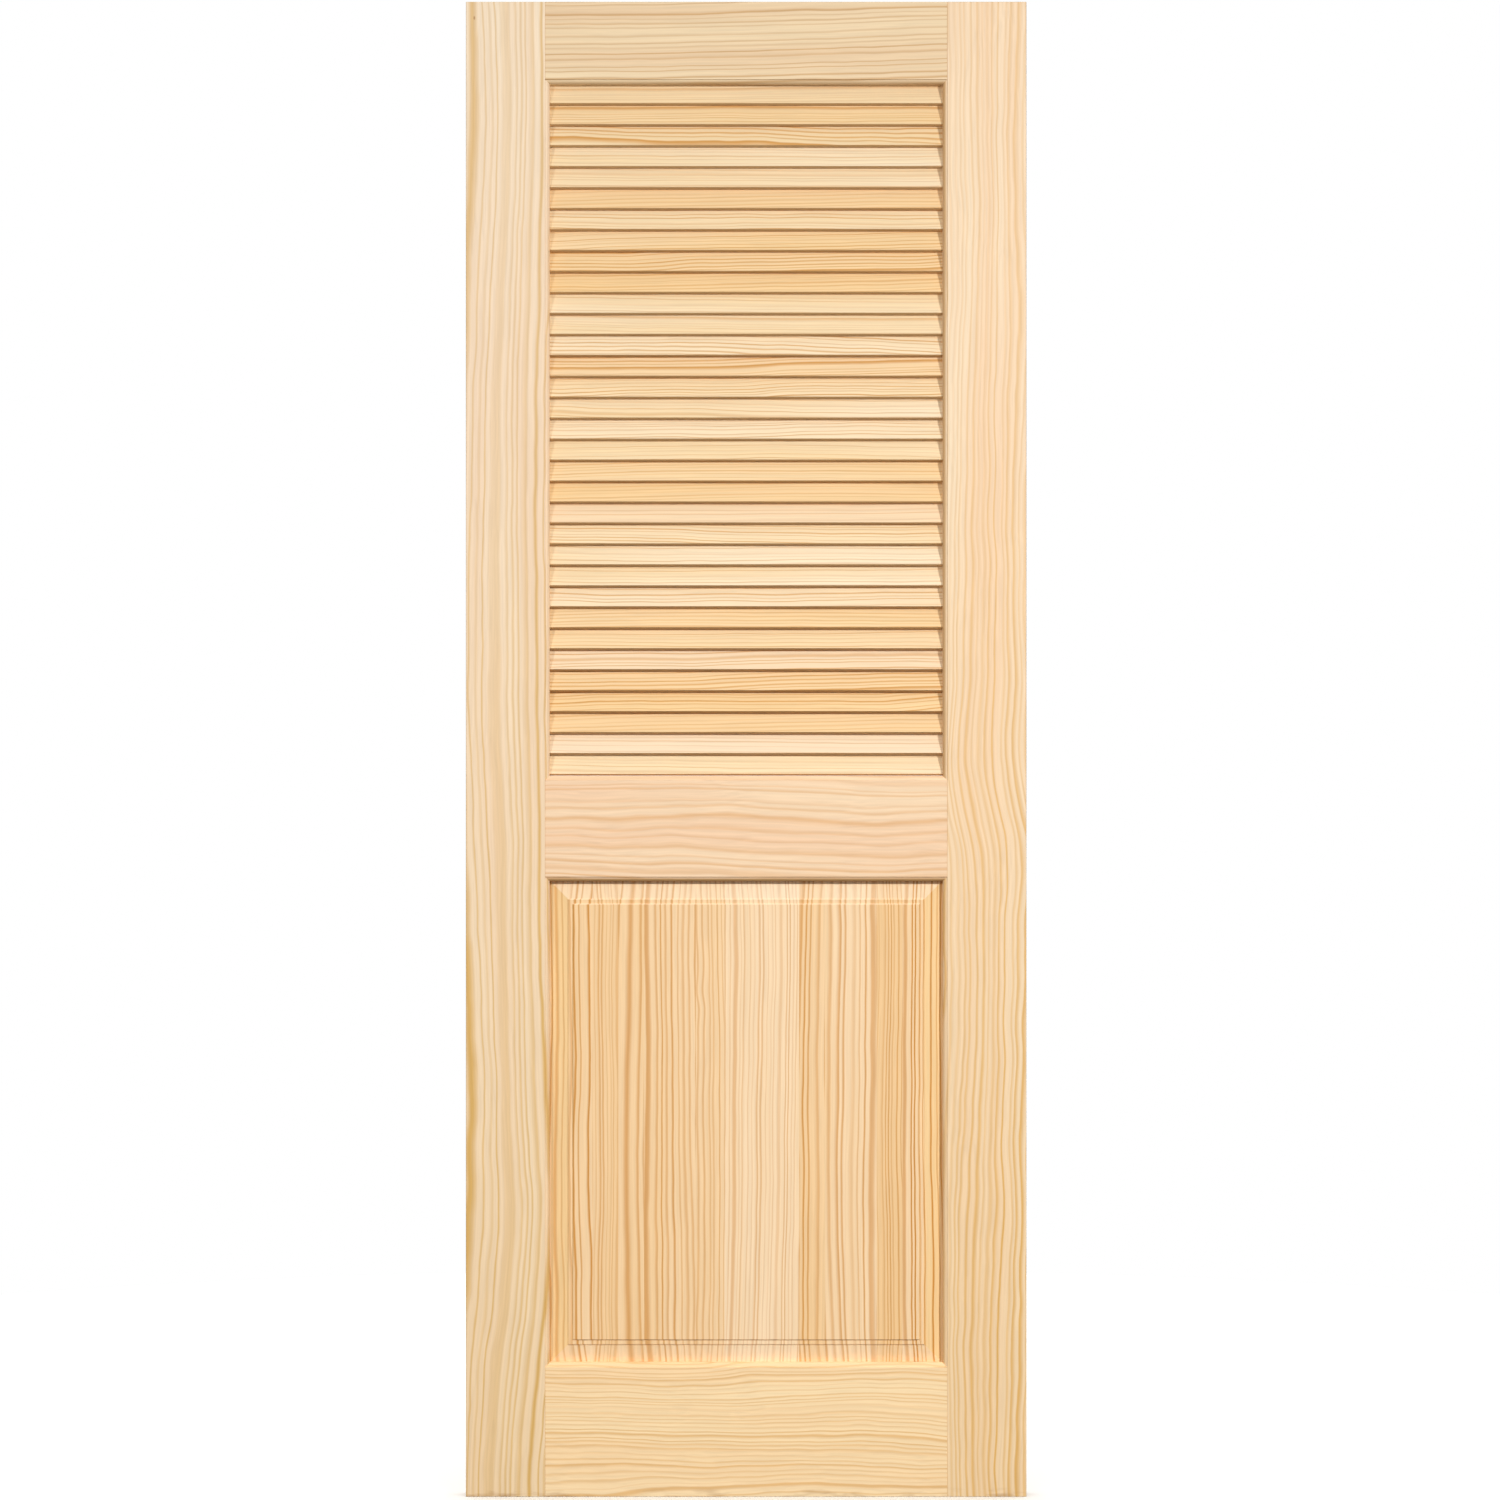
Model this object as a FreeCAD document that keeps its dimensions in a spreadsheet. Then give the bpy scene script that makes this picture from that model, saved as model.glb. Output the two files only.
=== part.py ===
import FreeCAD, Part
import math
import os
import Sketcher

# Louvre-over-panel door leaf in clear pine, in millimetres, +Z up, with its front face towards -Y.
# The origin is at the foot of the left stile's outer edge, half way through the door's thickness.

# Driving sizes: name, value, what it measures
DRIVING_SIZES = (
    ("door_width", 762, "over both stiles"),
    ("door_height", 2032, "from foot to head"),
    ("door_thickness", 35, "stiles and rails, face to face"),
    ("stile_width", 113.5, "outer edge to the inner edge of the sticking"),
    ("top_rail_width", 111.5, "head of the door to the louvre opening"),
    ("lock_rail_width", 143.5, "over both of its moulded edges"),
    ("lock_rail_foot", 836.5, "foot of the door to the underside of the lock rail"),
    ("bottom_rail_width", 182, "foot of the door to the panel opening"),
    ("arris_radius", 1, "rounding of the stiles' outer long edges"),
    ("sticking_width", 5.8, "moulded edge, across the face"),
    ("quirk_depth", 1.5, "square step from the face down to the moulding"),
    ("ovolo_radius", 5.3, "quarter round of the moulding"),
    ("groove_width", 8, "groove for the panel and the stub tenons"),
    ("groove_depth", 11, "depth of that groove"),
    ("tenon_play", 0.1, "stub tenon cheek to groove wall"),
    ("tenon_end_gap", 1, "stub tenon end to groove floor"),
    ("panel_thickness", 19, "raised panel at its field"),
    ("tongue_play", 0.2, "panel tongue to groove wall, each face"),
    ("panel_side_gap", 1.5, "panel edge to the stile's groove floor"),
    ("panel_head_gap", 1, "panel edge to the lock rail's groove floor"),
    ("bevel_width", 22.8, "sloped border of the panel"),
    ("bevel_rise", 2.5, "climb of that slope"),
    ("ledge_rise", 1.4, "step from the slope up to the ledge"),
    ("ledge_width", 5.5, "flat ledge round the field"),
    ("step_run", 1.2, "run of each of the two steps"),
    ("slat_count", 33, "slats in the louvre"),
    ("slat_width", 36, "over both crowned edges"),
    ("slat_thickness", 6.5, "between its flat sides"),
    ("slat_crown", 0.7, "rise of each rounded edge above its corners"),
    ("slat_tilt", 20, "degrees that a slat leans back from upright"),
    ("slat_foot_gap", 0.3, "lowest slat above the lock rail"),
    ("top_slat_loss", 1.2, "how much nearer the top rail is to the topmost slat than a full step"),
    ("mortise_depth", 9, "housing of a slat's end in the stile"),
    ("slat_fit", 0.1, "slat to mortise wall, all round, and top slat to rail"),
    ("slat_end_gap", 0.5, "slat end to mortise floor"),
    ("overcut", 2, "how far a cutter runs past the wood"),
)

# Sizes worked out from the driving ones, as formulas
HALF_THICKNESS = "Sizes.door_thickness / 2"
LAND_HALF = f"({HALF_THICKNESS} - Sizes.quirk_depth - Sizes.ovolo_radius)"
LOCK_RAIL_HEAD = "(Sizes.lock_rail_foot + Sizes.lock_rail_width)"
LOUVRE_HEAD = "(Sizes.door_height - Sizes.top_rail_width)"
SLAT_PITCH = f"(({LOUVRE_HEAD} + Sizes.top_slat_loss - {LOCK_RAIL_HEAD}) / Sizes.slat_count)"
SLAT_HALF = "(Sizes.slat_thickness / 2)"
CROWN_RADIUS = f"(({SLAT_HALF} ^ 2 + Sizes.slat_crown ^ 2) / (2 * Sizes.slat_crown))"
CROWN_CENTRE = f"(Sizes.slat_width / 2 - {CROWN_RADIUS})"
SLAT_HALF_HEIGHT = f"({CROWN_RADIUS} + {CROWN_CENTRE} * cos(Sizes.slat_tilt * 1 deg))"
LOWEST_SLAT = f"({LOCK_RAIL_HEAD} + Sizes.slat_foot_gap + {SLAT_HALF_HEIGHT})"
TENON_LENGTH = "(Sizes.groove_depth - Sizes.tenon_end_gap)"
TENON_HALF = "(Sizes.groove_width / 2 - Sizes.tenon_play)"
TONGUE_HALF = "(Sizes.groove_width / 2 - Sizes.tongue_play)"
OPENING_HALF = "(Sizes.door_width / 2 - Sizes.stile_width)"
PANEL_HALF_WIDTH = f"({OPENING_HALF} + Sizes.groove_depth - Sizes.panel_side_gap)"
PANEL_FOOT = "(Sizes.bottom_rail_width - Sizes.groove_depth)"
PANEL_HEAD = "(Sizes.lock_rail_foot + Sizes.groove_depth - Sizes.panel_head_gap)"

X_AXIS = FreeCAD.Vector(1, 0, 0)
Z_AXIS = FreeCAD.Vector(0, 0, 1)
STRAIGHT = None
CLOSE = 1e-6


def make_sheet(doc):
    """The driving sizes, one aliased cell each."""
    sheet = doc.addObject("Spreadsheet::Sheet", "Sizes")
    for row, (name, value, meaning) in enumerate(DRIVING_SIZES, start=1):
        sheet.set(f"A{row}", name)
        sheet.set(f"B{row}", str(value))
        sheet.setAlias(f"B{row}", name)
        sheet.set(f"C{row}", meaning)
    doc.recompute()
    return sheet


def origin_feature(body, role):
    return next(feature for feature in body.Origin.OriginFeatures if feature.Role == role)


def new_sketch(body, name, plane):
    sketch = body.newObject("Sketcher::SketchObject", name)
    sketch.AttachmentSupport = (origin_feature(body, plane), [""])
    sketch.MapMode = "FlatFace"
    return sketch


def bind(sketch, constraint, formula):
    """Add one dimension to a sketch and tie it to the sheet."""
    index = sketch.addConstraint(constraint)
    sketch.setExpression(f"Constraints[{index}]", formula)


def place_point(sketch, curve, end, x, y):
    """Tie one end of a curve to its place in the sketch."""
    bind(sketch, Sketcher.Constraint("DistanceX", -1, 1, curve, end, sketch.evalExpression(x)), x)
    bind(sketch, Sketcher.Constraint("DistanceY", -1, 1, curve, end, sketch.evalExpression(y)), y)


def draw_outline(sketch, corners):
    """Closed outline of corners (x, y, bend), counter-clockwise, each formula tied to the sheet.

    A corner whose bend is (centre x, centre y, radius) starts an arc, and any other starts a straight line.
    """
    points = [FreeCAD.Vector(sketch.evalExpression(x), sketch.evalExpression(y), 0) for x, y, _ in corners]
    first = sketch.GeometryCount
    for index, (_, _, bend) in enumerate(corners):
        start, end = points[index], points[(index + 1) % len(points)]
        if bend is STRAIGHT:
            sketch.addGeometry(Part.LineSegment(start, end), False)
            continue
        across, up, radius = (sketch.evalExpression(formula) for formula in bend)
        angles = [math.atan2(point.y - up, point.x - across) for point in (start, end)]
        circle = Part.Circle(FreeCAD.Vector(across, up, 0), Z_AXIS, radius)
        sketch.addGeometry(Part.ArcOfCircle(circle, *angles), False)
    for index, (x, y, bend) in enumerate(corners):
        curve = first + index
        following = first + (index + 1) % len(corners)
        sketch.addConstraint(Sketcher.Constraint("Coincident", curve, 2, following, 1))
        place_point(sketch, curve, 1, x, y)
        if bend is not STRAIGHT:
            radius = bend[2]
            bind(sketch, Sketcher.Constraint("Radius", curve, sketch.evalExpression(radius)), radius)


def draw_slat_section(sketch, fit):
    """Slat section, upright on the sketch's centre: flat sides and two crowned edges, all set out by fit."""
    half = f"({SLAT_HALF} + {fit})"
    tip = f"(Sizes.slat_width / 2 + {fit})"
    corner = f"({tip} - Sizes.slat_crown)"
    radius = f"(({half} ^ 2 + Sizes.slat_crown ^ 2) / (2 * Sizes.slat_crown))"
    draw_outline(sketch, [
        (half, f"-{corner}", STRAIGHT),
        (half, corner, ("0", f"{tip} - {radius}", radius)),
        (f"-{half}", corner, STRAIGHT),
        (f"-{half}", f"-{corner}", ("0", f"{radius} - {tip}", radius)),
    ])


def cut(doc, body, sketch, name, toward_normal=True):
    """Pocket right through, on the sketch normal's side, that has to take wood away."""
    doc.recompute()
    before = body.Shape.Volume
    pocket = body.newObject("PartDesign::Pocket", name)
    pocket.Profile = sketch
    pocket.Type = "ThroughAll"
    pocket.Reversed = toward_normal
    doc.recompute()
    if not pocket.Shape.Volume < before:
        raise RuntimeError(f"{name} cut nothing from {body.Label}")
    return pocket


def stuck_edge(grooved):
    """Moulded edge as corners (y, inset, bend), front face to back, with inset measured in from the edge."""
    back, front = f"({HALF_THICKNESS})", f"(-{HALF_THICKNESS})"
    width, quirk, radius = "Sizes.sticking_width", "Sizes.quirk_depth", "Sizes.ovolo_radius"
    corners = [
        (front, width, STRAIGHT),
        (f"{front} + {quirk}", width, STRAIGHT),
        (f"{front} + {quirk}", radius, (f"-{LAND_HALF}", radius, radius)),
        (f"-{LAND_HALF}", "0", STRAIGHT),
    ]
    if grooved:
        wall, floor = "Sizes.groove_width / 2", "Sizes.groove_depth"
        corners += [
            (f"-{wall}", "0", STRAIGHT),
            (f"-{wall}", floor, STRAIGHT),
            (wall, floor, STRAIGHT),
            (wall, "0", STRAIGHT),
        ]
    corners += [
        (LAND_HALF, "0", (LAND_HALF, radius, radius)),
        (f"{back} - {quirk}", radius, STRAIGHT),
        (f"{back} - {quirk}", width, STRAIGHT),
        (back, width, STRAIGHT),
    ]
    return corners


def square_edge():
    return [(f"-{HALF_THICKNESS}", "0", STRAIGHT), (HALF_THICKNESS, "0", STRAIGHT)]


def moved(corners, change):
    """The same corners in another place: change turns (y, inset) into sketch (x, y)."""
    return [(*change(y, inset), bend and (*change(*bend[:2]), bend[2])) for y, inset, bend in corners]


def left_stile(doc):
    """Moulded stile with a housing for every slat and stopped grooves for the rails and the panel."""
    body = doc.addObject("PartDesign::Body", "left_stile")
    plan = new_sketch(body, "stile_plan", "XY_Plane")
    inner = moved(stuck_edge(False), lambda y, inset: (f"Sizes.stile_width - ({inset})", y))
    outer = [("0", HALF_THICKNESS, STRAIGHT), ("0", f"-{HALF_THICKNESS}", STRAIGHT)]
    draw_outline(plan, inner + outer)
    stick = body.newObject("PartDesign::Pad", "stile_stick")
    stick.Profile = plan
    stick.setExpression("Length", "Sizes.door_height")
    doc.recompute()

    arrises = body.newObject("PartDesign::Fillet", "stile_arrises")
    outer_edges = [
        f"Edge{number}"
        for number, edge in enumerate(stick.Shape.Edges, start=1)
        if edge.BoundBox.XMax < CLOSE < edge.BoundBox.ZLength
    ]
    arrises.Base = (stick, outer_edges)
    arrises.setExpression("Radius", "Sizes.arris_radius")

    for name, foot, head in (("lower", "0", LOCK_RAIL_HEAD), ("upper", LOUVRE_HEAD, "Sizes.door_height")):
        groove = new_sketch(body, f"{name}_groove_outline", "YZ_Plane")
        groove.setExpression("AttachmentOffset.Base.z", "Sizes.stile_width - Sizes.groove_depth")
        wall = "Sizes.groove_width / 2"
        draw_outline(groove, [
            (f"-{wall}", foot, STRAIGHT),
            (wall, foot, STRAIGHT),
            (wall, head, STRAIGHT),
            (f"-{wall}", head, STRAIGHT),
        ])
        cut(doc, body, groove, f"{name}_groove")

    housing = new_sketch(body, "mortise_outline", "YZ_Plane")
    lean = FreeCAD.Rotation(Z_AXIS, -doc.Sizes.slat_tilt)
    housing.AttachmentOffset = FreeCAD.Placement(FreeCAD.Vector(), lean)
    housing.setExpression("AttachmentOffset.Base.y", LOWEST_SLAT)
    housing.setExpression("AttachmentOffset.Base.z", "Sizes.stile_width - Sizes.mortise_depth")
    housing.setExpression("AttachmentOffset.Rotation.Angle", "-Sizes.slat_tilt")
    draw_slat_section(housing, "Sizes.slat_fit")
    mortise = cut(doc, body, housing, "lowest_mortise")

    row = body.newObject("PartDesign::LinearPattern", "mortise_row")
    row.Originals = [mortise]
    row.Direction = (origin_feature(body, "Z_Axis"), [""])
    row.setExpression("Length", f"{SLAT_PITCH} * (Sizes.slat_count - 1)")
    row.setExpression("Occurrences", "Sizes.slat_count")
    body.Tip = row
    return body


def right_stile(doc, left):
    """The left stile in a mirror on the door's centre line."""
    mirror = doc.addObject("Part::Mirroring", "right_stile")
    mirror.Source = left
    mirror.Normal = X_AXIS
    mirror.setExpression("Base.x", "Sizes.door_width / 2")
    return mirror


def rail(doc, name, width, foot, lower_edge, upper_edge):
    """Rail with moulded long edges, its ends coped over the stiles' moulding, on stub tenons."""
    body = doc.addObject("PartDesign::Body", name)
    body.setExpression("Placement.Base.x", "Sizes.door_width / 2")
    body.setExpression("Placement.Base.z", foot)
    section = new_sketch(body, f"{name}_section", "YZ_Plane")
    lower = moved(lower_edge, lambda y, inset: (y, inset))
    upper = moved(upper_edge, lambda y, inset: (f"-({y})", f"{width} - ({inset})"))
    draw_outline(section, lower + upper)
    stick = body.newObject("PartDesign::Pad", f"{name}_stick")
    stick.Profile = section
    stick.SideType = "Symmetric"
    stick.setExpression("Length", f"2 * ({OPENING_HALF} + {TENON_LENGTH})")

    cope = new_sketch(body, f"{name}_cope_outline", "XY_Plane")
    past_end = f"-({OPENING_HALF} + {TENON_LENGTH} + Sizes.overcut)"
    past_face = f"({HALF_THICKNESS} + Sizes.overcut)"
    curve = moved(stuck_edge(False), lambda y, inset: (f"-{OPENING_HALF} - ({inset})", y))
    half = len(curve) // 2
    shoulder = f"-{OPENING_HALF}"
    draw_outline(cope, [
        (past_end, f"-{past_face}", STRAIGHT),
        (curve[0][0], f"-{past_face}", STRAIGHT),
        *curve[1:half],
        (shoulder, f"-{TENON_HALF}", STRAIGHT),
        (past_end, f"-{TENON_HALF}", STRAIGHT),
    ])
    draw_outline(cope, [
        (past_end, TENON_HALF, STRAIGHT),
        (shoulder, TENON_HALF, STRAIGHT),
        *curve[half:-1],
        (curve[-1][0], past_face, STRAIGHT),
        (past_end, past_face, STRAIGHT),
    ])
    left_cope = cut(doc, body, cope, f"{name}_left_cope")
    both_ends = body.newObject("PartDesign::Mirrored", f"{name}_copes")
    both_ends.Originals = [left_cope]
    both_ends.MirrorPlane = (origin_feature(body, "YZ_Plane"), [""])
    body.Tip = both_ends
    return body


def panel_prism(doc, name, plane, half_span, half_length):
    """The raised panel's section, tongue to tongue, run out to its full length."""
    tongue_reach = "Sizes.groove_depth"
    ledge_half = f"({TONGUE_HALF} + Sizes.bevel_rise + Sizes.ledge_rise)"
    bevel_end = f"({tongue_reach} + Sizes.bevel_width)"
    ledge_start = f"({bevel_end} + Sizes.step_run)"
    ledge_end = f"({ledge_start} + Sizes.ledge_width)"
    quarter = [
        ("0", TONGUE_HALF),
        (tongue_reach, TONGUE_HALF),
        (bevel_end, f"({TONGUE_HALF} + Sizes.bevel_rise)"),
        (ledge_start, ledge_half),
        (ledge_end, ledge_half),
        (f"({ledge_end} + Sizes.step_run)", "Sizes.panel_thickness / 2"),
    ]
    body = doc.addObject("PartDesign::Body", name)
    section = new_sketch(body, f"{name}_section", plane)
    front_left = [(f"-({half_span} - {inset})", f"-{half}", STRAIGHT) for inset, half in quarter]
    front_right = [(f"({half_span} - {inset})", f"-{half}", STRAIGHT) for inset, half in reversed(quarter)]
    back_right = [(f"({half_span} - {inset})", half, STRAIGHT) for inset, half in quarter]
    back_left = [(f"-({half_span} - {inset})", half, STRAIGHT) for inset, half in reversed(quarter)]
    ring = front_left + front_right + back_right + back_left
    if plane == "YZ_Plane":
        ring = [(y, x, STRAIGHT) for x, y, _ in reversed(ring)]
    draw_outline(section, ring)
    prism = body.newObject("PartDesign::Pad", f"{name}_run")
    prism.Profile = section
    prism.SideType = "Symmetric"
    prism.setExpression("Length", f"2 * {half_length}")
    body.setExpression("Placement.Base.x", "Sizes.door_width / 2")
    body.setExpression("Placement.Base.z", f"({PANEL_FOOT} + {PANEL_HEAD}) / 2")
    return body


def raised_panel(doc):
    """Panel raised on both faces: what its two sections share, so that its bevels mitre at the corners."""
    half_height = f"(({PANEL_HEAD} - {PANEL_FOOT}) / 2)"
    panel = doc.addObject("Part::Common", "raised_panel")
    panel.Base = panel_prism(doc, "panel_across", "XY_Plane", PANEL_HALF_WIDTH, half_height)
    panel.Tool = panel_prism(doc, "panel_upright", "YZ_Plane", half_height, PANEL_HALF_WIDTH)
    return panel


def slat(doc, name, rank):
    """Slat with crowned edges, leaning back, its ends housed in the stiles; rank counts from the lowest."""
    body = doc.addObject("PartDesign::Body", name)
    section = new_sketch(body, f"{name}_section", "YZ_Plane")
    draw_slat_section(section, "0")
    stick = body.newObject("PartDesign::Pad", f"{name}_stick")
    stick.Profile = section
    stick.SideType = "Symmetric"
    stick.setExpression("Length", f"2 * ({OPENING_HALF} + Sizes.mortise_depth - Sizes.slat_end_gap)")
    body.Placement.Rotation = FreeCAD.Rotation(X_AXIS, -doc.Sizes.slat_tilt)
    body.setExpression("Placement.Rotation.Angle", "-Sizes.slat_tilt")
    body.setExpression("Placement.Base.x", "Sizes.door_width / 2")
    body.setExpression("Placement.Base.z", f"{LOWEST_SLAT} + {rank} * {SLAT_PITCH}")
    return body


def ripped_slat(doc, name, rank):
    """The topmost slat, ripped level so that it closes under the top rail."""
    whole = slat(doc, f"{name}_whole", rank)
    waste = doc.addObject("Part::Box", f"{name}_waste")
    waste.setExpression("Length", "Sizes.door_width")
    waste.setExpression("Width", "Sizes.door_thickness")
    waste.setExpression("Height", "Sizes.slat_width")
    waste.setExpression("Placement.Base.y", f"-{HALF_THICKNESS}")
    waste.setExpression("Placement.Base.z", f"{LOUVRE_HEAD} - Sizes.slat_fit")
    ripped = doc.addObject("Part::Cut", name)
    ripped.Base = whole
    ripped.Tool = waste
    return ripped


def build_door(doc):
    """Every piece of the leaf, in the order that a joiner would lay them out."""
    sheet = make_sheet(doc)
    left = left_stile(doc)
    pieces = [left, right_stile(doc, left)]
    bottom_width, lock_width, top_width = (f"Sizes.{name}_rail_width" for name in ("bottom", "lock", "top"))
    plain, grooved, square = stuck_edge(False), stuck_edge(True), square_edge()
    pieces.append(rail(doc, "bottom_rail", bottom_width, "0", square, grooved))
    pieces.append(rail(doc, "lock_rail", lock_width, "Sizes.lock_rail_foot", grooved, plain))
    pieces.append(rail(doc, "top_rail", top_width, LOUVRE_HEAD, plain, square))
    pieces.append(raised_panel(doc))
    count = int(sheet.slat_count)
    for number in range(1, count + 1):
        make = ripped_slat if number == 1 else slat
        pieces.append(make(doc, f"slat_{number:02d}", count - number))
    doc.recompute()
    return pieces


def check(doc, pieces):
    for item in doc.Objects:
        if {"Invalid", "Error"} & set(item.State):
            raise RuntimeError(f"{item.Label} failed: {item.State}")
    for piece in pieces:
        if piece.Shape.isNull() or not piece.Shape.isValid() or len(piece.Shape.Solids) != 1:
            raise RuntimeError(f"{piece.Label} is not one sound solid")


def main():
    doc = FreeCAD.newDocument("louvred_door")
    pieces = build_door(doc)
    check(doc, pieces)
    os.makedirs("parts", exist_ok=True)
    for piece in pieces:
        piece.Shape.exportStep(f"parts/{piece.Label}.step")
    print(f"{len(pieces)} pieces written")


main()
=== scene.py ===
import math

import bmesh
import bpy
from bpy.props import FloatProperty, FloatVectorProperty, IntProperty, PointerProperty
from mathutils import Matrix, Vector


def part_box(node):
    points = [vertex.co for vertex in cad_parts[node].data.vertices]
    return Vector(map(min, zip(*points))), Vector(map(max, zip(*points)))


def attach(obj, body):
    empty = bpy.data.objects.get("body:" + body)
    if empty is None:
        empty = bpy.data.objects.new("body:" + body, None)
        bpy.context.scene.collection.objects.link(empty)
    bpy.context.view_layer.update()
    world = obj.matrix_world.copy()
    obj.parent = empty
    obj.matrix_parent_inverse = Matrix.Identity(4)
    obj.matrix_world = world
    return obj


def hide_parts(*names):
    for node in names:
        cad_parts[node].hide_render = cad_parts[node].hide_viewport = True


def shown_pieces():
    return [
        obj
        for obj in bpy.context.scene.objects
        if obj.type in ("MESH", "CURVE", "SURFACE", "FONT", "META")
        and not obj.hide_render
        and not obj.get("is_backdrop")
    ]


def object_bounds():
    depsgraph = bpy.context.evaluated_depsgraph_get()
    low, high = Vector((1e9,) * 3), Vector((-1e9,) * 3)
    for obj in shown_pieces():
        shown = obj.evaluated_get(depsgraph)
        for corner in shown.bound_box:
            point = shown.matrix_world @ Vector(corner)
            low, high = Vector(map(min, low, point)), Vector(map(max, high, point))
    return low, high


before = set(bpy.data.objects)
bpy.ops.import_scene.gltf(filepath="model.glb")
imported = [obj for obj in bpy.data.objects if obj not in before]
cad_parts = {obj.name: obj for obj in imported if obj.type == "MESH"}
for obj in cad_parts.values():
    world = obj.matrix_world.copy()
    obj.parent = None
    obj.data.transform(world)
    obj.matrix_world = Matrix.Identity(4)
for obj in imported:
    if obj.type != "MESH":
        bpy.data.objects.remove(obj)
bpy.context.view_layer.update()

# Louvre-over-panel door leaf in clear pine. Metres, +X across the leaf, front face towards -Y, +Z up.

bl_info = {
    "name": "Louvred pine door",
    "version": (1, 0, 0),
    "blender": (4, 5, 0),
    "location": "View3D > Sidebar > Door",
    "description": "Dresses the packed door leaf in planed pine, lays its louvre and sets a studio stage",
    "category": "Object",
}

MM = 0.001

# Sockets of the Mix node when it mixes colours, and of the Random Value node
MIX_FACTOR, MIX_A, MIX_B, MIX_RESULT = 0, 6, 7, 2
RANDOM_ID, RANDOM_SEED = 7, 8
VECTOR_LOW, VECTOR_HIGH, VECTOR_OUT = 0, 1, 0
FLOAT_LOW, FLOAT_HIGH, FLOAT_OUT = 2, 3, 1

# One row a board, lengths in millimetres.
# heart: where the log's heart lies from the board's middle (across, through)
# ring: a year's growth
# bend: how far rings stray over a long, a middling and a short stretch
# span and fade: shares of a year over which the dark late wood comes and goes
# late: how strongly it shows, at a stile's head and foot
# edge: painted shade, how much deeper a moulding's colour is made, beside the louvre and beside the panel on
# a stile, facing up
#   and facing down elsewhere; a little of it is the deeper colour of wood cut aslant
# swirl: a place (across, along) that the grain turns about, the reach of that each way and the turn in
#   degrees; the panel's place takes in its strip's move to its own part of the log
# colours: early wood pale and warm, and late wood
BOARDS = {
    "left_stile": {
        "heart": (-170, 110), "ring": 8.8, "bend": (40, 7, 2), "span": 0.44, "fade": 0.28,
        "late": (0.75, 1.1), "edge": (0.3, 0.3), "seed": 3.7, "swirl": (0, -800, 150, 320, -6),
        "colours": ("#F8E3C5", "#F3D5B5", "#DBAE62"),
    },
    "right_stile": {
        "heart": (210, 70), "ring": 7.8, "bend": (60, 11, 2), "span": 0.46, "fade": 0.3,
        "late": (0.5, 1.0), "edge": (0.86, 0.3), "seed": 8.1, "swirl": (10, -85, 110, 90, 12),
        "colours": ("#F8E0BF", "#F7D5B0", "#DFAA54"),
    },
    "top_rail": {
        "heart": (190, 60), "ring": 7.2, "bend": (30, 4, 2), "span": 0.34, "fade": 0.24,
        "late": (0.8, 0.8), "edge": (0.3, 0.5), "seed": 15.8, "swirl": (0, 0, 3000, 3000, 1.2),
        "colours": ("#F1D8B0", "#EACAA2", "#C9985C"),
    },
    "lock_rail": {
        "heart": (230, 160), "ring": 8.2, "bend": (60, 9, 2), "span": 0.5, "fade": 0.28,
        "late": (0.7, 0.7), "edge": (0.2, 1.0), "seed": 21.9, "swirl": (10, 150, 60, 60, 3),
        "colours": ("#F7D9B4", "#F4CEA9", "#DC9F58"),
    },
    "bottom_rail": {
        "heart": (-260, 90), "ring": 6.2, "bend": (60, 14, 3), "span": 0.4, "fade": 0.24,
        "late": (0.65, 0.65), "edge": (0.2, 0.2), "seed": 30.2, "swirl": (0, -60, 80, 90, 4),
        "colours": ("#FDE0B0", "#FBD6A4", "#DDA352"),
    },
    "raised_panel": {
        "heart": (-700, 520), "ring": 6.4, "bend": (30, 5, 1.2), "span": 0.4, "fade": 0.24,
        "late": (1.0, 1.0), "edge": None, "seed": 44.5, "swirl": (89, 3016, 14, 22, 10),
        "colours": ("#FDE1BC", "#F7D3A3", "#CE8826"),
    },
    "louvre_slats": {
        "heart": (-140, 60), "ring": 4.4, "bend": (30, 7, 1.5), "span": 0.32, "fade": 0.22,
        "late": (1.0, 1.0), "edge": (0.0, 0.8), "seed": 57.3, "swirl": (0, 0, 1, 1, 0),
        "colours": ("#F3DEBC", "#EED1A2", "#CD8F3C"),
    },
}
STILES = ("left_stile", "right_stile")
RAILS = ("top_rail", "lock_rail", "bottom_rail")

# Cells (across, through, along) of the noise by which rings stray: the board's length, a hand's breadth and a
# finger's breadth
STRAYS = {
    "Drift": (150 * MM, 150 * MM, 700 * MM),
    "Wave": (70 * MM, 70 * MM, 110 * MM),
    "Ripple": (14 * MM, 14 * MM, 40 * MM),
}
# Good and poor spells of weather: how much of one passes in a year and how many years' growth it adds
SPELL_PACE, SPELL_GROWTH = 0.45, 1.5
# A year's luck: shares of the board's span and of its late wood's strength
SPAN_LUCK, LATE_LUCK = (0.6, 1.4), (0.3, 1.0)
# Fine streaks between the rings: their length and how far they lighten or darken the wood
STREAK_LENGTH, STREAK_LIGHT = 150 * MM, (0.95, 1.05)
# Cell over which early wood wanders between pale and warm
CAST_CELL = (40 * MM, 40 * MM, 800 * MM)
# Range that holds nearly all of a noise's values
NOISE_CORE = (0.3, 0.7)
# Sanded early wood is softer and duller than the hard late wood, which stands a hair proud.
EARLY_LATE_ROUGHNESS, LATE_RISE = (0.72, 0.58), 0.6
# Strength and depth of the relief that sanding leaves on the grain
GRAIN_BUMP, GRAIN_DEPTH = 0.2, 0.3 * MM
WOOD_IOR = 1.5

# A moulding's painted shade takes its second edge value and gives way to its first over the lock rail's
# height on a stile, and over this lean of a face from downward to level elsewhere.
LOCK_RAIL_SPAN = (836.5 * MM, 980 * MM)
DOWNWARD_SPAN = (-0.25, -0.05)
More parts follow.
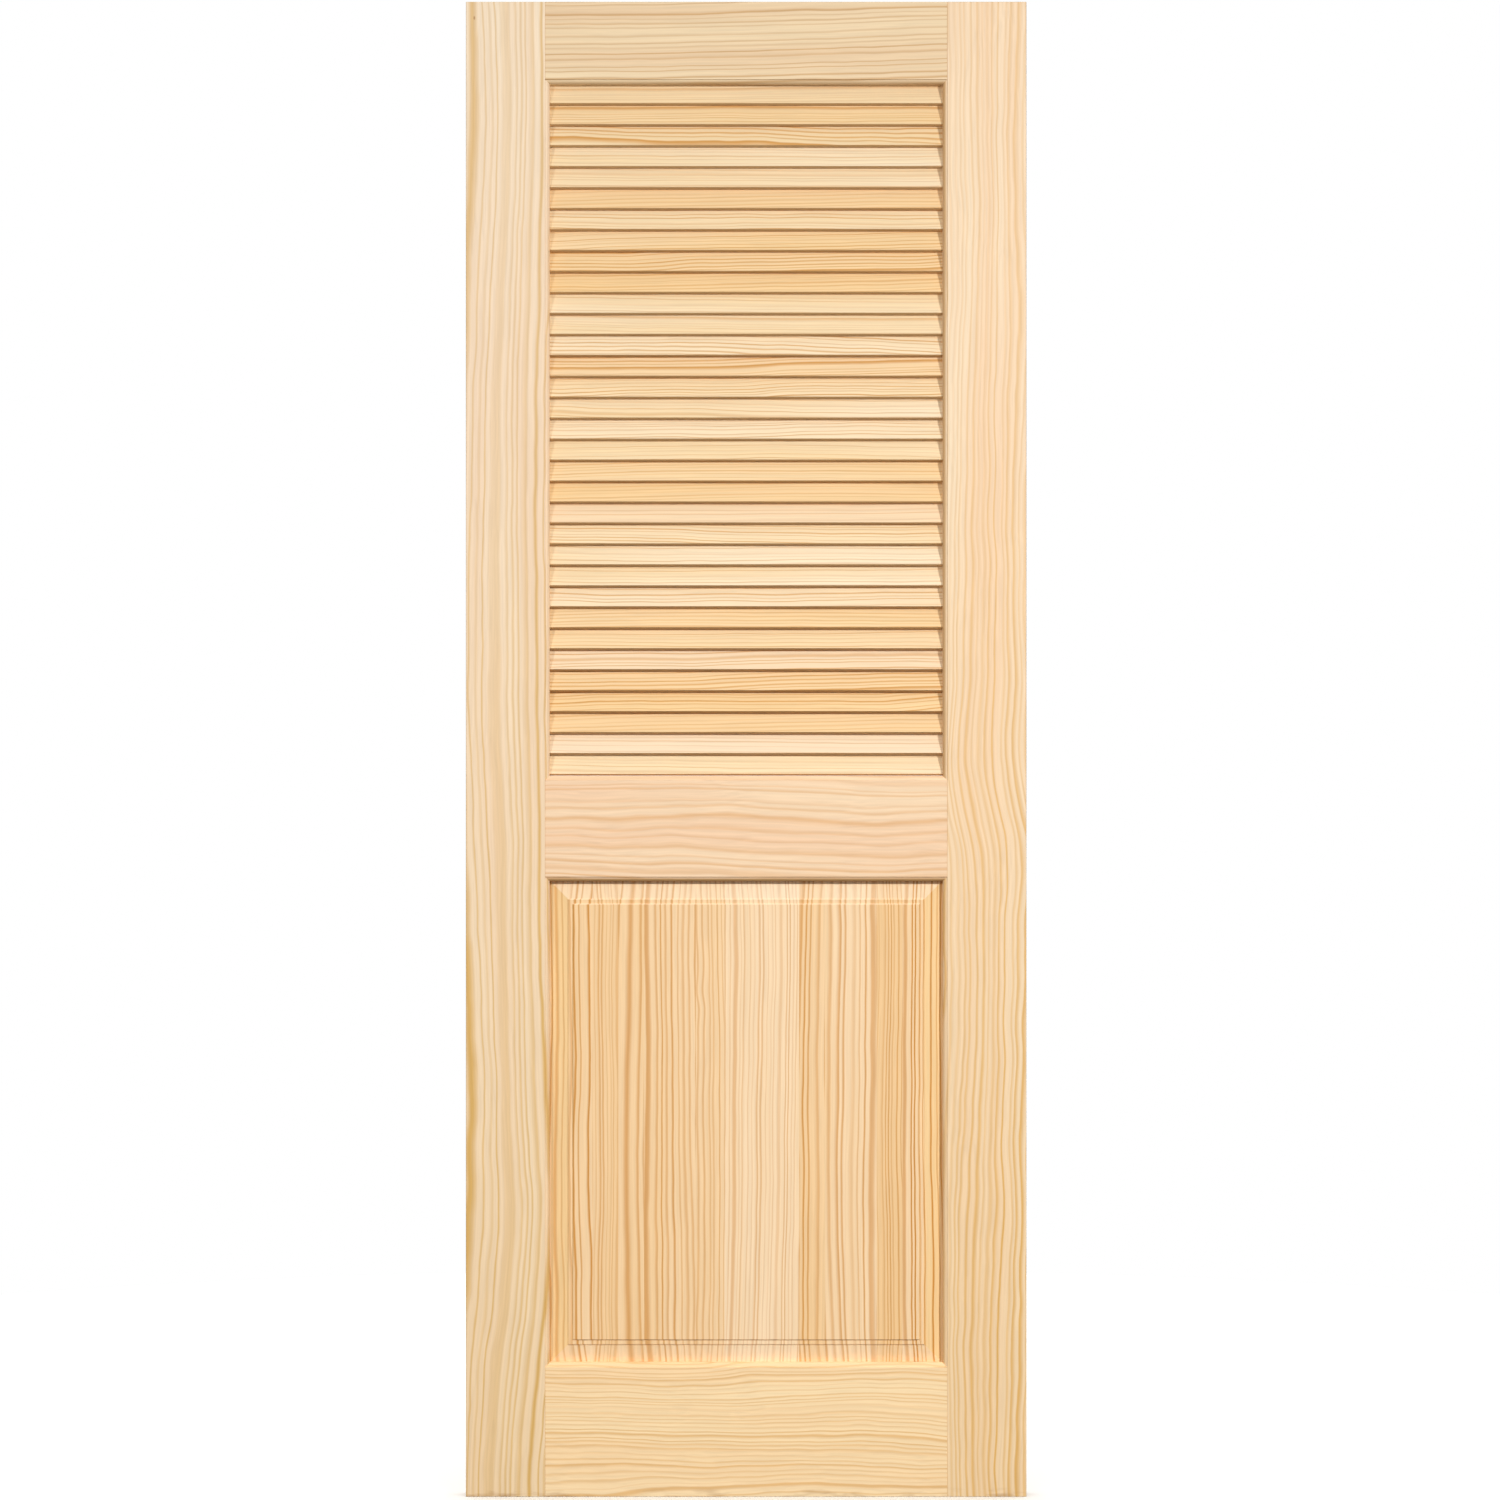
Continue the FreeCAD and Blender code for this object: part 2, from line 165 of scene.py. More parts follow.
# How squarely a face looks forward or back where its painted shade starts to deepen and where it is deepest;
# the broad faces of a slat lean too, and they stay pale. So do the leaf's own edges, which look sideways.
BOARD_TURN, SLAT_TURN = (0.995, 0.93), (0.98, 0.8)
SQUARE_TURN = (0.02, 0.15)
# How squarely a face looks along the grain where end grain comes in, and how much of its colour shows
END_TURN, END_MOST = (0.75, 0.95), 0.7

# Scuffs along the foot, some 40 mm long and 8 mm high: how high they reach and how strong the lowest are
SCUFF_CELL, SCUFF_NOISE = (40 * MM, 40 * MM, 8 * MM), (0.5, 0.7)
SCUFF_HEIGHT, SCUFF_MOST = 14 * MM, 0.6
# Resin fleck, some 2 mm wide and 5 mm tall: its middle, its half size and where in that its colour ebbs
FLECK_PLACE = (11.5 * MM, -17.5 * MM, 2010 * MM)
FLECK_HALF = (1.3 * MM, 1.3 * MM, 2.8 * MM)
FLECK_EBB, FLECK_MOST = (0.4, 1.2), 0.8
# Height up to which a stile is painted deeper yellow, standing in for the paler, brighter light nearer its
# head, and how much at its foot, and heights between which its late wood changes
FOOT_HEIGHT, FOOT_MOST = 1.5, 0.55
STILE_LATE_SPAN = (0.4, 1.6)

# Strips that the panel is glued up from: where each starts across the leaf in millimetres, how tan it is, how
# strongly its late wood shows, which part of a log it comes from and how fast that log grew
STRIPS = (
    (100, 0.40, 1.10, 0.05, 0.29), (168, 0.55, 0.75, 0.62, 0.07), (204, 0.40, 0.80, 0.43, 0.64),
    (242, 0.30, 1.00, 0.31, 0.30), (310, 0.35, 0.70, 0.95, 0.21), (348, 0.05, 0.60, 0.88, 0.21),
    (450, 0.45, 1.00, 0.17, 0.60), (486, 0.25, 0.85, 0.47, 0.55), (557, 0.65, 0.95, 0.73, 0.11),
    (592, 0.35, 1.25, 0.26, 0.28),
)
# Share of the panel's usual ring that the slowest and the fastest grown strips have
STRIP_RINGS = (0.6, 2.0)
# Stretch of log that strips come from (across, through, along), and the part past which one is turned over
LOG_SIZE, LOG_TURN = (160 * MM, 120 * MM, 3000 * MM), 0.5
# Lean of a face, from the flat of the panel to its bevels
BEVEL_LEAN = (0.03, 0.09)
# How far a bevel takes on its own colour: with the grain, across it facing up and across it facing down;
# across the grain the pale colour is partly a painted highlight from above, so it is stronger facing up
LONG_CUT, UP_CUT_AND_HIGHLIGHT, DOWN_CUT = 0.2, 0.3, 0.15
# Share of the late wood that is left on the bevel facing up
CROSS_LATE = 0.75

# Corners this near to each other are one, faces this near to flat are one, edges past this angle are eased.
WELD, FLAT, SHARP = 0.002 * MM, math.radians(0.5), math.radians(40)
# Faces that meet at less than this are shaded as one; the panel's bevels are flat and meet in crisp mitres.
ROUNDED, CRISP = math.radians(25), math.radians(3)

# Points across a slat's rounded edge
CROWN_POINTS = 9
# What a slat draws, lowest and highest: its place in the log; honey, blush and late wood; slope of the grain
# and shares of the usual ring and wave
SLAT_DRAWS = (
    ("slat_log", (-0.08, -0.05, -2.0), (0.08, 0.05, 2.0)),
    ("slat_tone", (0.0, 0.0, 0.0), (1.0, 1.0, 1.0)),
    ("slat_grain", (-0.025, 0.75, 0.2), (0.025, 1.5, 1.2)),
)
# Draws over which a slat turns to honey and to blush, how far it goes, and the late wood it shows
HONEY_DRAW, BLUSH_DRAW, SLAT_CAST = (0.45, 1.0), (0.6, 1.0), (0.0, 0.8)
SLAT_LATE = (0.4, 1.0)

# Lamps' places, near enough that their light comes level at the leaf's head and steep at its foot
LAMPS = {"key": (2.10, -2.50, 2.16), "fill": (-1.34, -2.50, 2.16), "back": (-0.90, 2.60, 2.16)}
LAMP_SIZE, LAMP_AIM = 0.16, 0.3
FLOOR_RADIUS, FLOOR_SIDES, FLOOR_ROUGHNESS = 2.6, 96, 0.9
OVERHEAD_STRENGTH, OVERHEAD_SPREAD, OVERHEAD_HEIGHT = 2.4, math.radians(60), 5.0
DOME_STRENGTH = 0.68
WHITE = (1, 1, 1, 1)
SENSOR, CAMERA_REACH = 36, 100
# The camera stands a little to the right of the leaf's middle and below it.
CAMERA_ASIDE, CAMERA_DROP = 5.2 * MM, 1.0 * MM


def linear(hex_text):
    """sRGB hex colour as linear RGBA."""
    channels = [int(hex_text[start:start + 2], 16) / 255 for start in (1, 3, 5)]
    return tuple(c / 12.92 if c <= 0.04045 else ((c + 0.055) / 1.055) ** 2.4 for c in channels) + (1.0,)


def node(tree, kind, inputs=(), **settings):
    """Add one node. settings are its properties; inputs, by name or place, are values or sockets to link."""
    made = tree.nodes.new(kind)
    for name, value in settings.items():
        setattr(made, name, value)
    for key, value in dict(inputs).items():
        socket = made.inputs[key]
        if isinstance(value, bpy.types.NodeSocket):
            tree.links.new(value, socket)
        else:
            socket.default_value = value
    return made


def maths(tree, operation, *values):
    """Result of one Math node."""
    return node(tree, "ShaderNodeMath", enumerate(values), operation=operation).outputs[0]


def vectors(tree, operation, *values):
    """Result of one Vector Math node: a number for a length or a dot product, else a vector."""
    made = node(tree, "ShaderNodeVectorMath", enumerate(values), operation=operation)
    return made.outputs["Value" if operation in ("LENGTH", "DOT_PRODUCT") else "Vector"]


def times(tree, vector, number):
    """A vector made longer or shorter by a number."""
    return node(tree, "ShaderNodeVectorMath", {0: vector, "Scale": number}, operation="SCALE").outputs[0]


def ranged(tree, value, given=(0.0, 1.0), onto=(0.0, 1.0), **settings):
    """A value carried from one range onto another and held inside it."""
    names = ("Value", "From Min", "From Max", "To Min", "To Max")
    return node(tree, "ShaderNodeMapRange", zip(names, (value, *given, *onto)), **settings).outputs[0]


def blend(tree, share, first, second):
    """First colour with a share of the second mixed in."""
    inputs = {MIX_FACTOR: share, MIX_A: first, MIX_B: second}
    return node(tree, "ShaderNodeMix", inputs, data_type="RGBA").outputs[MIX_RESULT]


def parts_of(tree, vector):
    """X, Y and Z of a vector, as sockets."""
    return node(tree, "ShaderNodeSeparateXYZ", {0: vector}).outputs


def carried(tree, name):
    """Vector that each slat carries under a name."""
    return node(tree, "ShaderNodeAttribute", attribute_name=name).outputs["Vector"]


def sockets(tree, way, kinds):
    """Give a node group its inputs or its outputs, a kind of socket by name."""
    for name, kind in kinds.items():
        tree.interface.new_socket(name, in_out=way, socket_type=f"NodeSocket{kind}")


def colour_setting(name, description, hex_text):
    """Property that holds a colour."""
    return FloatVectorProperty(
        name=name, description=description, default=linear(hex_text), size=4, min=0.0, max=1.0,
        subtype="COLOR",
    )


def length_setting(name, description, default, least=0.0):
    """Property that holds a length in metres."""
    return FloatProperty(
        name=name, description=description, default=default, min=least, subtype="DISTANCE", unit="LENGTH",
    )


def angle_setting(name, description, degrees):
    """Property that holds an angle."""
    return FloatProperty(
        name=name, description=description, default=math.radians(degrees), subtype="ANGLE", unit="ROTATION",
    )


def strength_setting(name, description, default):
    """Property that holds a lamp's strength."""
    return FloatProperty(name=name, description=description, default=default, min=0.0)


class DoorPine(bpy.types.PropertyGroup):
    """Planed boards of the frame and the panel."""

    ease: length_setting("Eased edge", "Chamfer that sanding leaves on each sharp edge", 0.4 * MM)
    fibre: length_setting("Fibre streak", "Width of the fine streaks between the rings", 2.4 * MM, 0.1 * MM)
    end_grain: colour_setting("End grain", "Colour of the sawn ends", "#D8AE76")
    # Painted light: the stiles go towards this deeper yellow at the foot, standing in for paler, brighter
    # light at the head.
    foot: colour_setting("Foot", "Colour to which the stiles yellow towards the foot", "#EEC88E")
    tan: colour_setting("Tan strip", "Colour of the panel's tan strips", "#EFBF7C")
    # Partly a painted highlight: the bevels and steps across the grain go towards this pale colour, most
    # where they face up.
    cross_cut_and_highlight: colour_setting("Cross cut", "Colour of the panel's bevels that cross the grain", "#FFEED4")
    long_cut: colour_setting("Long cut", "Colour of the panel's bevels that run with the grain", "#ECC765")
    # Painted shade: faces that lean away from the leaf's faces are deepened towards this colour, with a
    # little of the deeper colour of wood cut aslant.
    moulding_shade: colour_setting("Moulded edge", "Colour of mouldings, cut aslant through the rings", "#CCA16C")
    stain: colour_setting("Stain", "Colour of flecks and of scuffs along the foot", "#A87845")


class DoorLouvre(bpy.types.PropertyGroup):
    """Slats of the louvre, as the frame has them."""

    count: IntProperty(name="Slats", description="Slats in the louvre", default=33, min=1)
    width: length_setting("Width", "Slat over both crowned edges", 36 * MM)
    thickness: length_setting("Thickness", "Slat between its flat sides", 6.5 * MM)
    crown: length_setting("Crown", "Rise of each rounded edge above its corners", 0.7 * MM)
    tilt: angle_setting("Tilt", "How far a slat leans back from upright", 20)
    play: angle_setting("Play", "How far a slat's lean strays either way", 0.25)
    seed: IntProperty(name="Seed", description="Picks which log each slat was ripped from", default=7)
    honey: colour_setting("Honey slat", "Colour towards which the warmer slats go", "#EDC283")
    blush: colour_setting("Blush slat", "Colour towards which the pinker slats go", "#F0D5B4")


class DoorStage(bpy.types.PropertyGroup):
    """Camera, lamps and floor."""

    distance: length_setting("Camera distance", "Camera to the leaf's front face", 6.0, 1.0)
    frame_height: length_setting("Frame height", "Height that the picture takes in at the front face", 2.0388)
    key: strength_setting("Key lamp", "Strength of the lamp at the right", 6.2)
    fill: strength_setting("Fill lamp", "Strength of the lamp at the left", 2.9)
    back: strength_setting("Back lamp", "Strength of the lamp behind", 7.5)
    floor: colour_setting("Floor", "Colour of the floor", "#F4F3F0")


def pine_figure(fibre):
    """Node group of sawn pine: growth rings round a heart that lies off the board, seen on any face of it.

    Pine shows pale early wood that darkens through each year to a thin line of late wood, then starts again.
    """
    tree = bpy.data.node_groups.new("sawn_pine_figure", "ShaderNodeTree")
    sockets(tree, "INPUT", {
        "Place": "Vector", "Heart": "Vector", "Swirl": "Vector", "Reach": "Vector", "Turn": "Float",
        "Ring": "Float", "Drift": "Float", "Wave": "Float", "Ripple": "Float", "Span": "Float",
        "Fade": "Float", "Late": "Float", "Seed": "Float", "Pale": "Color", "Warm": "Color", "Line": "Color",
    })
    sockets(tree, "OUTPUT", {"Colour": "Color", "Roughness": "Float", "Height": "Float"})
    start = node(tree, "NodeGroupInput").outputs

    # Grain turns about the swirl, most at its middle.
    apart = vectors(tree, "SUBTRACT", start["Place"], start["Swirl"])
    share = vectors(tree, "DIVIDE", apart, start["Reach"])
    square = vectors(tree, "DOT_PRODUCT", share, share)
    minus = maths(tree, "MULTIPLY", square, -1.0)
    ebb = maths(tree, "EXPONENT", minus)
    angle = maths(tree, "MULTIPLY", ebb, start["Turn"])
    turned = node(
        tree, "ShaderNodeVectorRotate", {"Vector": start["Place"], "Center": start["Swirl"], "Angle": angle},
        rotation_type="Y_AXIS",
    ).outputs[0]
    bent = turned
    for reach, cell in STRAYS.items():
        cells = vectors(tree, "DIVIDE", turned, cell)
        cloud = node(
            tree, "ShaderNodeTexNoise", {"Vector": cells, "W": start["Seed"], "Scale": 1.0, "Detail": 1.0},
            noise_dimensions="4D",
        ).outputs["Color"]
        centred = vectors(tree, "SUBTRACT", cloud, (0.5, 0.5, 0.5))
        push = times(tree, centred, start[reach])
        bent = vectors(tree, "ADD", bent, push)

    from_heart = vectors(tree, "SUBTRACT", bent, start["Heart"])
    level = vectors(tree, "MULTIPLY", from_heart, (1, 1, 0))
    radius = vectors(tree, "LENGTH", level)
    years = maths(tree, "DIVIDE", radius, start["Ring"])
    spells = maths(tree, "MULTIPLY_ADD", years, SPELL_PACE, start["Seed"])
    weather = node(
        tree, "ShaderNodeTexNoise", {"W": spells, "Scale": 1.0, "Detail": 1.0}, noise_dimensions="1D",
    ).outputs[0]
    uneven = maths(tree, "MULTIPLY_ADD", weather, SPELL_GROWTH, years)
    year = maths(tree, "FLOOR", uneven)
    season = maths(tree, "FRACT", uneven)
    year_seed = maths(tree, "ADD", year, start["Seed"])
    luck = node(tree, "ShaderNodeTexWhiteNoise", {"W": year_seed}, noise_dimensions="1D").outputs["Color"]
    chances = node(tree, "ShaderNodeSeparateColor", {0: luck}).outputs

    peak = maths(tree, "SUBTRACT", 1.0, start["Fade"])
    uneven_span = ranged(tree, chances[0], onto=SPAN_LUCK)
    span = maths(tree, "MULTIPLY", uneven_span, start["Span"])
    onset = maths(tree, "SUBTRACT", peak, span)
    rise = ranged(tree, season, (onset, peak), interpolation_type="SMOOTHSTEP")
    stop = ranged(tree, season, (peak, 1.0), (1.0, 0.0), interpolation_type="SMOOTHSTEP")
    band = maths(tree, "MULTIPLY", rise, stop)
    depth = ranged(tree, chances[1], onto=LATE_LUCK)
    strong = maths(tree, "MULTIPLY", depth, start["Late"])
    late = maths(tree, "MULTIPLY", band, strong)

    # Real fibres are a few hundredths of a millimetre wide; these streaks are coarse enough to show.
    thread = vectors(tree, "DIVIDE", bent, (fibre, fibre, STREAK_LENGTH))
    streak = node(tree, "ShaderNodeTexNoise", {"Vector": thread, "Scale": 1.0, "Detail": 2.0}).outputs[0]
    wide = vectors(tree, "DIVIDE", bent, CAST_CELL)
    cast = node(
        tree, "ShaderNodeTexNoise", {"Vector": wide, "W": start["Seed"], "Scale": 1.0, "Detail": 1.0},
        noise_dimensions="4D",
    ).outputs[0]
    warmth = ranged(tree, cast, NOISE_CORE)

    early = blend(tree, warmth, start["Pale"], start["Warm"])
    ringed = blend(tree, late, early, start["Line"])
    lightness = ranged(tree, streak, NOISE_CORE, STREAK_LIGHT)
    colour = node(tree, "ShaderNodeHueSaturation", {"Value": lightness, "Color": ringed}).outputs[0]

    roughness = ranged(tree, late, onto=EARLY_LATE_ROUGHNESS)
    height = maths(tree, "MULTIPLY_ADD", late, LATE_RISE, streak)
    node(tree, "NodeGroupOutput", {"Colour": colour, "Roughness": roughness, "Height": height})
    return tree


def shared_figure():
    """The one pine figure that all boards share."""
    return bpy.data.node_groups.get("sawn_pine_figure") or pine_figure(bpy.context.scene.door_pine.fibre)


def planed_pine(name, board, place, colours=None):
    """Material of one board: pine, planed and sanded bare, so matt, pale and lined with late wood.

    place is a function that adds the nodes giving the board's own coordinates, with Z along the grain, and
    colours one that adds the nodes for what changes over the board.
    """
    row = BOARDS[board]
    pale, warm, line = (linear(text) for text in row["colours"])
    across, through = row["heart"]
    drift, wave, ripple = row["bend"]
    swirl_across, swirl_along, reach_across, reach_along, turn = row["swirl"]
    material = bpy.data.materials.new(name)
    material.use_nodes = True
    tree = material.node_tree
    tree.nodes.clear()
    spot, end = place(tree)
    inputs = {
        "Place": spot, "Heart": (across * MM, through * MM, 0), "Ring": row["ring"] * MM, "Drift": drift * MM,
        "Swirl": (swirl_across * MM, 0, swirl_along * MM), "Reach": (reach_across * MM, 1, reach_along * MM),
        "Turn": math.radians(turn), "Wave": wave * MM, "Ripple": ripple * MM, "Span": row["span"],
        "Fade": row["fade"], "Late": row["late"][0], "Seed": row["seed"], "Pale": pale, "Warm": warm,
        "Line": line,
    }
    if colours:
        inputs.update(colours(tree, row))
    wood = node(tree, "ShaderNodeGroup", inputs, node_tree=shared_figure()).outputs
    colour = wood["Colour"]
    if end is not None:
        colour = blend(tree, end, colour, tuple(bpy.context.scene.door_pine.end_grain))
        colour = stained(tree, colour)
    # Painted shade on mouldings and on faces that look down, such as the undersides of slats
    if row["edge"]:
        colour = moulding_shade(tree, colour, board)
    relief = {"Strength": GRAIN_BUMP, "Distance": GRAIN_DEPTH, "Height": wood["Height"]}
    normal = node(tree, "ShaderNodeBump", relief).outputs[0]
    shader = node(
        tree, "ShaderNodeBsdfPrincipled",
        {"Base Color": colour, "Roughness": wood["Roughness"], "Normal": normal, "IOR": WOOD_IOR},
    ).outputs[0]
    node(tree, "ShaderNodeOutputMaterial", {"Surface": shader})
    return material


def moulding_shade(tree, colour, board):
    """Nodes that paint shade on a face that leans away from the leaf's faces, as on a moulding, by deepening
    its colour, with a little of the deeper colour of wood cut aslant.
    """
    first, second = BOARDS[board]["edge"]
    found = node(tree, "ShaderNodeTexCoord").outputs
    normal = parts_of(tree, found["Normal"])
    if board in STILES:
        reading, span = parts_of(tree, found["Object"])["Z"], LOCK_RAIL_SPAN
    else:
        reading, span = normal["Z"], DOWNWARD_SPAN
    most = ranged(tree, reading, span, (second, first))
    facing = maths(tree, "ABSOLUTE", normal["Y"])
    leaning = ranged(tree, facing, SLAT_TURN if board == "louvre_slats" else BOARD_TURN, (0.0, most))
    sideways = ranged(tree, facing, SQUARE_TURN)
    share = maths(tree, "MULTIPLY", leaning, sideways)
    return blend(tree, share, colour, tuple(bpy.context.scene.door_pine.moulding_shade))


def stained(tree, colour):
    """Nodes that scuff the lowest edge brown in patches and put a small resin fleck at the top left."""
    spot = node(tree, "ShaderNodeTexCoord").outputs["Object"]
    height = parts_of(tree, spot)["Z"]
    low = ranged(tree, height, (0.0, SCUFF_HEIGHT), (SCUFF_MOST, 0.0))
    patch = vectors(tree, "DIVIDE", spot, SCUFF_CELL)
    cloud = node(tree, "ShaderNodeTexNoise", {"Vector": patch, "Scale": 1.0, "Detail": 3.0}).outputs[0]
    worn = ranged(tree, cloud, SCUFF_NOISE)
    scuff = maths(tree, "MULTIPLY", low, worn)
    apart = vectors(tree, "SUBTRACT", spot, FLECK_PLACE)
    round_off = vectors(tree, "DIVIDE", apart, FLECK_HALF)
    far = vectors(tree, "LENGTH", round_off)
    fleck = ranged(tree, far, FLECK_EBB, (FLECK_MOST, 0.0))
    both = maths(tree, "MAXIMUM", scuff, fleck)
    return blend(tree, both, colour, tuple(bpy.context.scene.door_pine.stain))


def stile_colours(tree, row):
    """Nodes that paint a stile deeper yellow towards its foot, standing in for paler, brighter light at its
    head, and change how its late wood shows towards its foot.
    """
    foot = tuple(bpy.context.scene.door_pine.foot)
    spot = node(tree, "ShaderNodeTexCoord").outputs["Object"]
    height = parts_of(tree, spot)["Z"]
    share = ranged(tree, height, (0.0, FOOT_HEIGHT), (FOOT_MOST, 0.0))
    head_late, foot_late = row["late"]
    toned = {"Late": ranged(tree, height, STILE_LATE_SPAN, (foot_late, head_late))}
    for key, colour in zip(("Pale", "Warm"), row["colours"]):
        toned[key] = blend(tree, share, linear(colour), foot)
    return toned


def strip_ramp(tree):
    """Colour ramp across the leaf that holds each strip's tan, late wood, log and growth."""
    spot = node(tree, "ShaderNodeTexCoord").outputs["Object"]
    across = parts_of(tree, spot)["X"]
    ramp = node(tree, "ShaderNodeValToRGB", {0: across})
    ramp.color_ramp.interpolation = "CONSTANT"
    stops = ramp.color_ramp.elements
    stops.remove(stops[1])
    for start, *traits in STRIPS:
        stop = stops.new(start * MM)
        stop.color = traits
    tan, late, log = node(tree, "ShaderNodeSeparateColor", {0: ramp.outputs["Color"]}).outputs
    return {"tan": tan, "late": late, "log": log, "growth": ramp.outputs["Alpha"]}


def panel_colours(tree, row):
    """Nodes that tone each glued strip, and turn the bevels paler across the grain and deeper along it; the
    paler colour is partly a painted highlight, strongest on bevels and steps that face up.
    """
    pine = bpy.context.scene.door_pine
    strip = strip_ramp(tree)
    normal = node(tree, "ShaderNodeTexCoord").outputs["Normal"]
    lean = parts_of(tree, normal)
    flat, full = BEVEL_LEAN
    aside = maths(tree, "ABSOLUTE", lean["X"])
    running = ranged(tree, aside, (flat, full), (0.0, LONG_CUT))
    # Bevels across the grain are paler, partly a painted highlight: more where they face up than where they
    # face down
    upward = ranged(tree, lean["Z"], (flat, full), (0.0, UP_CUT_AND_HIGHLIGHT))
    downward = ranged(tree, lean["Z"], (-flat, -full), (0.0, DOWN_CUT))
    crossing_and_highlight = maths(tree, "ADD", upward, downward)
    # Cut across, the late wood shows as short, fainter lines.
    fainter = ranged(tree, crossing_and_highlight, (0.0, UP_CUT_AND_HIGHLIGHT), (1.0, CROSS_LATE))
    toned = {
        "Late": maths(tree, "MULTIPLY", strip["late"], fainter),
        "Ring": ranged(tree, strip["growth"], onto=[share * row["ring"] * MM for share in STRIP_RINGS]),
    }
    casts = ((strip["tan"], pine.tan), (crossing_and_highlight, pine.cross_cut_and_highlight), (running, pine.long_cut))
    for key, colour in zip(("Pale", "Warm"), row["colours"]):
        mixed = linear(colour)
        for share, other in casts:
            mixed = blend(tree, share, mixed, tuple(other))
        toned[key] = mixed
    return toned


def board_place(low, high, upright):
    """Nodes that put the board's middle at the origin, its grain along Z, and that find its sawn ends."""
    middle = (low + high) / 2
    if upright:
        turn, shift, along = (0, 0, 0), -middle, (0, 0, 1)
    else:
        turn, shift, along = (0, math.pi / 2, 0), Vector((-middle.z, -middle.y, middle.x)), (1, 0, 0)

    def place(tree):
        found = node(tree, "ShaderNodeTexCoord").outputs
        inputs = {"Vector": found["Object"], "Location": shift, "Rotation": turn}
        spot = node(tree, "ShaderNodeMapping", inputs).outputs[0]
        facing = vectors(tree, "DOT_PRODUCT", found["Normal"], along)
        square = maths(tree, "ABSOLUTE", facing)
        return spot, ranged(tree, square, END_TURN, (0.0, END_MOST))

    return place


def panel_place(low, high):
    """Nodes that read the panel's coordinates, each glued strip moved to its own part of a log."""
    board = board_place(low, high, True)

    def place(tree):
        spot, end = board(tree)
        log = strip_ramp(tree)["log"]
        apart = times(tree, LOG_SIZE, log)
        # Strips from the log's far part are turned over, so that their rings lean the other way.
        over = maths(tree, "GREATER_THAN", log, LOG_TURN)
        side = ranged(tree, over, onto=(1.0, -1.0))
        faced = node(tree, "ShaderNodeCombineXYZ", {"X": 1.0, "Y": side, "Z": 1.0}).outputs[0]
        turned = vectors(tree, "MULTIPLY", spot, faced)
        return vectors(tree, "ADD", turned, apart), end

    return place


def settle(piece):
    """Turn a piece's modifiers into its plain mesh."""
    bpy.context.view_layer.update()
    ready = piece.evaluated_get(bpy.context.evaluated_depsgraph_get())
    plain = bpy.data.meshes.new_from_object(ready)
    piece.modifiers.clear()
    piece.data = plain


def shade(mesh, round_below):
    """Shade as one all faces that meet at less than round_below."""
    mesh.shade_smooth()
    mesh.set_sharp_from_angle(angle=round_below)


def eased_copy(node_name, round_below):
    """New piece in a frame node's place: its solid, merged, with every sharp edge lightly chamfered."""
    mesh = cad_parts[node_name].data.copy()
    mesh.name = f"{node_name}_board"
    solid = bmesh.new()
    solid.from_mesh(mesh)
    bmesh.ops.remove_doubles(solid, verts=solid.verts, dist=WELD)
    bmesh.ops.dissolve_limit(solid, angle_limit=FLAT, verts=solid.verts, edges=solid.edges)
    solid.to_mesh(mesh)
    solid.free()
    mesh.materials.clear()
    piece = bpy.data.objects.new(f"{node_name}_board", mesh)
    bpy.context.scene.collection.objects.link(piece)
    chamfer = piece.modifiers.new("eased", "BEVEL")
    chamfer.width = bpy.context.scene.door_pine.ease
    chamfer.segments = 1
    chamfer.limit_method = "ANGLE"
    chamfer.angle_limit = SHARP
    chamfer.use_clamp_overlap = False
    settle(piece)
    shade(piece.data, round_below)
    return piece


def fit_board(node_name, place, colours=None, round_below=ROUNDED):
    """Eased pine board in the place of one frame node."""
    piece = eased_copy(node_name, round_below)
    material = planed_pine(f"planed_pine_{node_name}", node_name, place, colours)
    piece.data.materials.append(material)
    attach(piece, "root")
    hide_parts(node_name)


class DOOR_OT_fit_stiles(bpy.types.Operator):
    """Fit the two stiles, grain upright"""

    bl_idname = "door.fit_stiles"
    bl_label = "Fit stiles"

    def execute(self, context):
        for name in STILES:
            fit_board(name, board_place(*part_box(name), True), stile_colours)
        return {"FINISHED"}


class DOOR_OT_fit_rails(bpy.types.Operator):
    """Fit the top, lock and bottom rails, grain across"""

    bl_idname = "door.fit_rails"
    bl_label = "Fit rails"

    def execute(self, context):
        for name in RAILS:
            fit_board(name, board_place(*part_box(name), False))
        return {"FINISHED"}


class DOOR_OT_fit_panel(bpy.types.Operator):
    """Fit the raised panel, glued up from upright strips"""

    bl_idname = "door.fit_panel"
    bl_label = "Fit panel"

    def execute(self, context):
        name = "raised_panel"
        fit_board(name, panel_place(*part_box(name)), panel_colours, round_below=CRISP)
        return {"FINISHED"}


